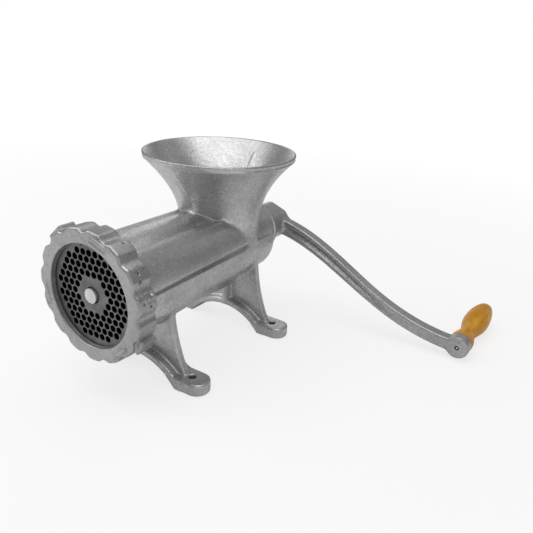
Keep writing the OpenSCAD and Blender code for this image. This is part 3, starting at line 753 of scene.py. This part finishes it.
def ring_nut():
    """The scalloped nut: lobes, two lugs, three bars on its face, and the thread's bore."""
    grid = Grid(RING_LOW, RING_HIGH, RING_STEP)
    up = grid.z - AXIS_H
    out = np.hypot(grid.x, up)
    angle = np.arctan2(up, grid.x)
    pitch = 2 * math.pi / RING_LOBES
    from_lobe = np.mod(angle - math.radians(LOBE_TURN), pitch) - pitch / 2
    dent_at = RING_ROOT_R + DENT_R
    dent = np.sqrt(np.maximum(out ** 2 + dent_at ** 2 - 2 * out * dent_at * np.cos(from_lobe), 0))
    outline = without(out - RING_LOBE_R, dent - DENT_R, DENT_EDGE)
    back = RING_Y + RING_DEPTH
    ring = extrude(outline, between(grid.y, RING_Y, back), RING_EDGE)
    lug_depth = RING_DEPTH - LUG_SETBACK
    for degrees, width in LUGS:
        middle = polar(RING_Y + LUG_SETBACK + lug_depth / 2, degrees, sum(LUG_R) / 2)
        half = ((LUG_R[1] - LUG_R[0]) / 2, lug_depth / 2, width / 2)
        ring = union(ring, block(grid, middle, half, 1.0, math.radians(degrees)), 1.0)
    for degrees in BARS:
        middle = polar(RING_Y, degrees, BAR_R)
        turn = math.radians(degrees)
        half_w, half_len = BAR_W / 2, BAR_LEN / 2
        moat = block(grid, middle, (half_w + MOAT_W, BAR_RISE, half_len + MOAT_W), 0.5, turn)
        bar = block(grid, middle, (half_w, BAR_RISE, half_len), 0.5, turn)
        ring = union(without(ring, moat, 0.5), bar, 0.3)
    patch = np.clip(1 - np.abs(np.degrees(angle) - PATCH_ANGLE) / PATCH_REACH, 0, 1)
    patch = patch * np.clip((grid.y - RING_Y - 4) / 3, 0, 1)
    ring = ring + patch * (0.2 + 0.6 * ripple(grid, 1.1))
    opening_r = RING_OPENING_R - RING_DRAFT * (grid.y - RING_Y) / RING_FLANGE
    opening = np.maximum(out - opening_r, grid.y - RING_Y - 30)
    thread = np.maximum(out - RING_THREAD_R, RING_Y + RING_FLANGE - grid.y)
    ring = without(ring, opening, 0.7)
    ring = without(ring, thread, 0.5)
    ring = pits(grid, ring, [(polar(y, degrees, RING_PIT_OUT), r) for y, degrees, r in RING_PITS])
    add_piece("ring_nut_skin", surface_mesh("ring_nut_skin", ring, grid), "ring", "casting",
              CAST_RING, "ring_nut")


# ---------------------------------------------------------------- crank
def curve_distance(x, z, points):
    """Distance to a curve of points, and how far along it the nearest place lies, from 0 to 1."""
    best = np.full(np.broadcast(x, z).shape, 1e6, np.float32)
    place = np.zeros_like(best)
    count = len(points) - 1
    for i in range(count):
        a = points[i]
        d = points[i + 1] - a
        t = np.clip(((x - a[0]) * d[0] + (z - a[1]) * d[1]) / (d @ d), 0, 1)
        away = np.hypot(x - a[0] - t * d[0], z - a[1] - t * d[1])
        nearer = away < best
        best = np.where(nearer, away, best)
        place = np.where(nearer, (i + t) / count, place)
    return best, place


def crank(grip_x, grip_z):
    """The forged crank: hub, curved arm with a groove down each side, and boss."""
    grid = Grid((-26, HUB_Y - 3, -2), (grip_x + 16, HUB_END_Y + 3, AXIS_H + 26), CRANK_STEP)
    (hub_x, hub_dz), (boss_x, boss_dz) = CRANK_PULL
    controls = np.array([[0, AXIS_H], [hub_x, AXIS_H + hub_dz],
                         [boss_x, grip_z + boss_dz], [grip_x, grip_z]])
    line = [bezier3(controls, t) for t in np.linspace(0, 1, 61)]
    away, place = curve_distance(grid.x, grid.z, line)
    width = ARM_W_ROOT + (ARM_W_TIP - ARM_W_ROOT) * np.minimum(1, place * ARM_TAPER)
    middle_y = HUB_END_Y - ARM_T / 2
    side = np.abs(grid.y - middle_y)
    arm = extrude(away - width / 2, side - ARM_T / 2, ARM_EDGE)
    depth = np.interp(place, GROOVE_PLACES, GROOVE_DEPTHS).astype(np.float32)
    groove = side - ARM_T / 2 + depth * np.maximum(0, 1 - away / (GROOVE_SHARE * width / 2))
    arm = common(arm, groove * GROOVE_SLOPE, 0.8)
    out = np.hypot(grid.x, grid.z - AXIS_H)
    hub = extrude(out - HUB_R, between(grid.y, HUB_Y, HUB_END_Y), HUB_EDGE)
    a = math.radians(HUB_FLAT_ANGLE)
    flat = grid.x * math.cos(a) + (grid.z - AXIS_H) * math.sin(a) - HUB_FLAT_R
    hub = common(hub, flat, 1.6)
    from_pin = np.hypot(grid.x - grip_x, grid.z - grip_z)
    boss = extrude(from_pin - BOSS_R, side - ARM_T / 2, HUB_EDGE)
    solid = union(union(arm, hub, HUB_JOIN), boss, BOSS_JOIN)
    disc = extrude(from_pin - BOSS_DISC_R, side - ARM_T / 2 - BOSS_DISC_RISE, 0.5)
    solid = union(solid, disc, 0.6)
    square = extrude(np.maximum(np.abs(grid.x), np.abs(grid.z - AXIS_H)) - DRIVE_W / 2,
                     between(grid.y, HUB_Y - 9, HUB_END_Y + 9), 0.2)
    solid = without(solid, square, 0.5)
    solid = without(solid, from_pin - DIMPLE_R, 0.6)
    mesh = surface_mesh("crank_skin", solid, grid)
    add_piece("crank_skin", mesh, "drive", "casting", CAST_CRANK, "crank_arm")


# ---------------------------------------------------------------- grip
GRIP_BASE_R = 12.2
GRIP_WAIST = (0.24, 9.0)        # share of the length, and radius there
GRIP_SWELL = (0.6, 13.8)
GRIP_TAIL = 0.52
RECESS_R = 7.4
RECESS_DEPTH = 5.6


def grip_axis():
    """Where the grip's axis runs, across and in height: the middle of its solid."""
    low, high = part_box("wooden_grip")
    return [(low[i] + high[i]) / 2 / MM for i in (0, 2)]


def grip_radius(s):
    """The turned grip's radius at share s of its length."""
    waist_at, waist_r = GRIP_WAIST
    swell_at, swell_r = GRIP_SWELL
    if s < waist_at:
        t = max(0.0, s - 0.03) / (waist_at - 0.03)
        return waist_r + (GRIP_BASE_R - waist_r) * (1 + math.cos(math.pi * t)) / 2
    if s < swell_at:
        t = (s - waist_at) / (swell_at - waist_at)
        return waist_r + (swell_r - waist_r) * (1 - math.cos(math.pi * t)) / 2
    return swell_r * math.sqrt(1 - ((s - swell_at) / GRIP_TAIL) ** 2)


def grip(grip_x, grip_z):
    """The turned grip, with a recess in its end for the spindle's head."""
    low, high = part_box("wooden_grip")
    start = low[1] / MM
    end = high[1] / MM
    length = end - start
    steps = 80
    profile = [(start, PIN_R + 0.2), (start, GRIP_BASE_R - 0.6)]
    profile += [(start + 0.6 + (length - 1.2) * i / steps, grip_radius(i / steps))
                for i in range(steps + 1)]
    profile += [(end, grip_radius(1) - 0.5), (end, RECESS_R + 0.3), (end - 0.4, RECESS_R),
                (end - RECESS_DEPTH, RECESS_R), (end - RECESS_DEPTH, 0.2)]
    mesh = lathe("turned_grip", profile, (grip_x, 0, grip_z))
    add_piece("turned_grip", mesh, "grip", "wood", WOOD, "wooden_grip")


def spindle(grip_x, grip_z):
    """The headed rod in the grip. Its near end is riveted in the boss, and shows as a dimple, whose
    floor is a disc painted near black as shade.
    """
    face = HUB_END_Y - ARM_T
    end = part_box("grip_spindle")[1][1] / MM
    head = end - PIN_HEAD_T
    rod = [(face + 2, 0.2), (face + 2, PIN_R), (head, PIN_R), (head, PIN_HEAD_R - 0.2),
           (head + 0.2, PIN_HEAD_R), (end - 0.8, PIN_HEAD_R), (end, PIN_HEAD_R - 0.9), (end, 0.2)]
    # A near-black disc in the dimple's floor: painted shade.
    dimple = [(face + 1.2, 0.2), (face + 1.2, DIMPLE_R + 0.1), (face + 2.5, DIMPLE_R + 0.1),
              (face + 2.5, 0.2)]
    tip = [(face - 0.2, 0.2), (face - 0.1, 0.8), (face + 0.2, 1.15), (face + 1.6, 1.2),
           (face + 1.6, 0.1)]
    rod_mesh = lathe("spindle_rod", rod, (grip_x, 0, grip_z), 48)
    add_piece("spindle_rod", rod_mesh, "drive", "bright_steel", BRIGHT, "grip_spindle")
    for name, profile, material in (("spindle_dimple_painted_shade", dimple, SHADE_DARK_STEEL),
                                    ("spindle_tip", tip, BRIGHT)):
        mesh = lathe(name, profile, (grip_x, 0, grip_z), 48)
        add_piece(name, mesh, "drive", "bright_steel", material)


# ---------------------------------------------------------------- wing screw
SCREW_STEP = 0.5
SCREW_BOX = 14              # half the width of the box in which the screw is sampled
HEAD_SEAT = 1.2             # from the hub's end to the head's underside, sunk in the washer
SCREW_R = 5.0
HEAD_R = 10.0
HEAD_T = 9.0
WING_REACH = 12.0
WING_R = 5.0
WING_T = 4.6
DOME_R = 17.5
DOME_RISE = 1.5             # how far the head is domed past its rim


def wing_screw():
    """The screw that holds the crank on, with a domed head and two short ears to turn it by."""
    low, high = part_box("crank_wing_screw")
    head_y = HUB_END_Y + HEAD_SEAT
    end = head_y + HEAD_T
    grid = Grid((-SCREW_BOX, low[1] / MM - 1, AXIS_H - SCREW_BOX),
                (SCREW_BOX, end + WING_R + 3, AXIS_H + SCREW_BOX), SCREW_STEP)
    out = np.hypot(grid.x, grid.z - AXIS_H)
    screw = extrude(out - SCREW_R, between(grid.y, low[1] / MM, end), 0.4)
    dome = np.sqrt(out ** 2 + (grid.y - end + DOME_R - DOME_RISE) ** 2) - DOME_R
    head = common(extrude(out - HEAD_R, between(grid.y, head_y, end + 2), 1.0), dome, 1.0)
    screw = union(screw, head, 0.6)
    for side in (-1, 1):
        ear = np.hypot(grid.x - side * (WING_REACH - WING_R), grid.y - end - 1) - WING_R
        ear = extrude(ear, np.abs(grid.z - AXIS_H) - WING_T / 2, 1.2)
        screw = union(screw, ear, 2.5)
    mesh = surface_mesh("short_wing_screw", screw, grid)
    add_piece("short_wing_screw", mesh, "wing_screw", "casting", CAST, "crank_wing_screw")


# ---------------------------------------------------------------- CAD nodes that stay
def dress_nodes():
    """Gives the CAD nodes that show as they are their materials."""
    looks = {
        "bearing_bushing": BRONZE, "thrust_washer": STEEL, "feed_screw": CAST, "screw_stud": BRIGHT,
        "cutting_knife": STEEL, "plate_key": STEEL, "crank_washer": STEEL, "grip_washer": STEEL,
    }
    for name, material in looks.items():
        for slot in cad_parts[name].material_slots:
            slot.material = material


# ---------------------------------------------------------------- room, light and camera
FLOOR_GLOW = 0.75       # the share of plain white in the floor as the camera sees it, by the object


def plain_floor():
    """A pale floor that the camera sees as near white, with the object's shadow kept."""
    mesh = bpy.data.meshes.new("floor")
    half = 4.0
    mesh.from_pydata([(-half, -half, 0), (half, -half, 0), (half, half, 0), (-half, half, 0)], [],
                     [(0, 1, 2, 3)])
    floor = bpy.data.objects.new("floor", mesh)
    floor.location.z = -0.0005
    bpy.context.scene.collection.objects.link(floor)
    n = Nodes("pale_floor")
    n.shader.inputs["Base Color"].default_value = (0.9, 0.9, 0.9, 1)
    n.shader.inputs["Roughness"].default_value = 0.8
    n.shader.inputs["Specular IOR Level"].default_value = 0.0
    white = n.tree.nodes.new("ShaderNodeEmission")
    white.inputs["Color"].default_value = (1, 1, 1, 1)
    length = n.tree.nodes.new("ShaderNodeVectorMath")
    length.operation = "LENGTH"
    n.link(n.coords, length.inputs[0])
    share = n.range(length.outputs["Value"], 0.3, 1.1, FLOOR_GLOW, 1.0)
    seen = n.tree.nodes.new("ShaderNodeLightPath").outputs["Is Camera Ray"]
    mix = n.tree.nodes.new("ShaderNodeMixShader")
    n.link(n.math("MULTIPLY", share, seen), mix.inputs[0])
    n.link(n.shader.outputs[0], mix.inputs[1])
    n.link(white.outputs[0], mix.inputs[2])
    n.link(mix.outputs[0], n.tree.nodes["Material Output"].inputs["Surface"])
    mesh.materials.append(n.material)


WORLD_GLOW = 0.24
LAMP_AIM = (0.05, 0.0, 0.1)
# Each lamp is (name, place in metres, size in metres, watts).
LAMPS = (("top", (0.0, -0.1, 1.3), 1.4, 11), ("key", (-1.1, -0.7, 0.9), 0.9, 6.5),
         ("fill", (1.3, -0.9, 0.6), 1.0, 3), ("back", (-0.9, 1.2, 0.45), 0.9, 1.8),
         ("rear", (0.45, 1.3, 0.95), 0.9, 0.6))


def studio_light():
    """Soft lamps that the camera doesn't see, and a world that it sees as white."""
    world = bpy.data.worlds.new("studio")
    bpy.context.scene.world = world
    world.use_nodes = True
    tree = world.node_tree
    background = tree.nodes["Background"]
    background.inputs["Color"].default_value = (1, 1, 1, 1)
    background.inputs["Strength"].default_value = WORLD_GLOW
    plain = tree.nodes.new("ShaderNodeBackground")
    plain.inputs["Color"].default_value = (1, 1, 1, 1)
    plain.inputs["Strength"].default_value = 1.0
    path = tree.nodes.new("ShaderNodeLightPath")
    mix = tree.nodes.new("ShaderNodeMixShader")
    tree.links.new(path.outputs["Is Camera Ray"], mix.inputs[0])
    tree.links.new(background.outputs[0], mix.inputs[1])
    tree.links.new(plain.outputs[0], mix.inputs[2])
    tree.links.new(mix.outputs[0], tree.nodes["World Output"].inputs["Surface"])
    for name, place, size, watts in LAMPS:
        lamp = bpy.data.lights.new(name, "AREA")
        lamp.energy = watts
        lamp.size = size
        light = bpy.data.objects.new(name, lamp)
        light.location = place
        light.visible_camera = False
        aim = Vector(LAMP_AIM) - Vector(place)
        light.rotation_euler = aim.to_track_quat("-Z", "Y").to_euler()
        bpy.context.scene.collection.objects.link(light)


CAMERA_TURNS = (32.19, 22.38, 3.11)     # azimuth, elevation and roll, in degrees
CAMERA_PLACE = (0.3562, -0.4235, 0.3155)
CAMERA_LENS = 39.38


def camera():
    """A camera at the photograph's viewing angle."""
    azimuth, elevation, roll = (math.radians(d) for d in CAMERA_TURNS)
    level = math.cos(elevation)
    back = Vector((math.sin(azimuth) * level, -math.cos(azimuth) * level, math.sin(elevation)))
    right = Vector((math.cos(azimuth), math.sin(azimuth), 0))
    up = back.cross(right)
    tilted_right = right * math.cos(roll) + up * math.sin(roll)
    tilted_up = up * math.cos(roll) - right * math.sin(roll)
    data = bpy.data.cameras.new("camera")
    data.sensor_width = 36
    data.lens = CAMERA_LENS
    data.clip_start = 0.01
    data.clip_end = 50
    cam = bpy.data.objects.new("camera", data)
    turn = Matrix((tilted_right, tilted_up, back)).transposed().to_4x4()
    cam.matrix_world = Matrix.Translation(CAMERA_PLACE) @ turn
    bpy.context.scene.collection.objects.link(cam)
    bpy.context.scene.camera = cam


bpy.context.scene.view_settings.view_transform = "Standard"
grip_x, grip_z = grip_axis()
dress_nodes()
body_casting()
cutting_plate()
ring_nut()
crank(grip_x, grip_z)
grip(grip_x, grip_z)
spindle(grip_x, grip_z)
wing_screw()
plain_floor()
studio_light()
camera()
